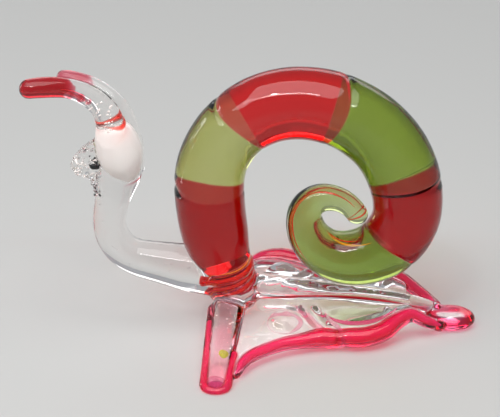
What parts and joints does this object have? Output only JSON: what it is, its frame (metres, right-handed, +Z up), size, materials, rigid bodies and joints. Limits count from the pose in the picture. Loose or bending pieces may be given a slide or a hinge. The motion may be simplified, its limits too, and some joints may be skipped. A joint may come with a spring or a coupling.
{
  "type": "snail figurine",
  "caption": "Lampworked glass snail with a coiled shell of red and green bands, a clear body and a rimmed foot.",
  "frame": {"origin": "on the ground, below the middle of the bounding box", "axes": "+X from head to tail along the length, +Z up, the shell's coil in the plane Y = 0"},
  "size_m": [0.058, 0.038, 0.0361],
  "materials": {
    "clear_glass": "fire-polished",
    "red_glass": "fire-polished",
    "dark_red_glass": "fire-polished",
    "green_glass": "fire-polished",
    "pink_glass": "fire-polished",
    "orange_glass": "fire-polished",
    "black_glass": "fire-polished"
  },
  "bodies": {
    "root": {"shell_band_1_red": "red_glass", "shell_band_2_green": "green_glass", "shell_band_3_red": "red_glass", "shell_band_4_green": "green_glass", "shell_band_5_red": "red_glass", "shell_band_6_green": "green_glass", "root_gather": "clear_glass", "root_thread_1": "red_glass", "root_thread_2": "red_glass", "root_thread_3": "red_glass", "neck_rod": "clear_glass", "head_gather": "clear_glass", "snout": "clear_glass", "eye_left": "black_glass", "eye_right": "black_glass", "tentacle_left": "clear_glass", "tentacle_right": "clear_glass", "tentacle_tip_left": "dark_red_glass", "tentacle_tip_right": "pink_glass", "tentacle_collar_left": "orange_glass", "keel_rod": "clear_glass", "tail_lobe": "clear_glass", "front_leg_left": "clear_glass", "front_leg_right": "clear_glass", "leg_rim_left": "pink_glass", "leg_rim_right": "pink_glass", "rim_front_left": "pink_glass", "rim_front_right": "pink_glass", "rim_rear_left": "pink_glass", "rim_rear_right": "pink_glass", "web_left": "clear_glass", "web_right": "clear_glass"}
  },
  "joints": []
}
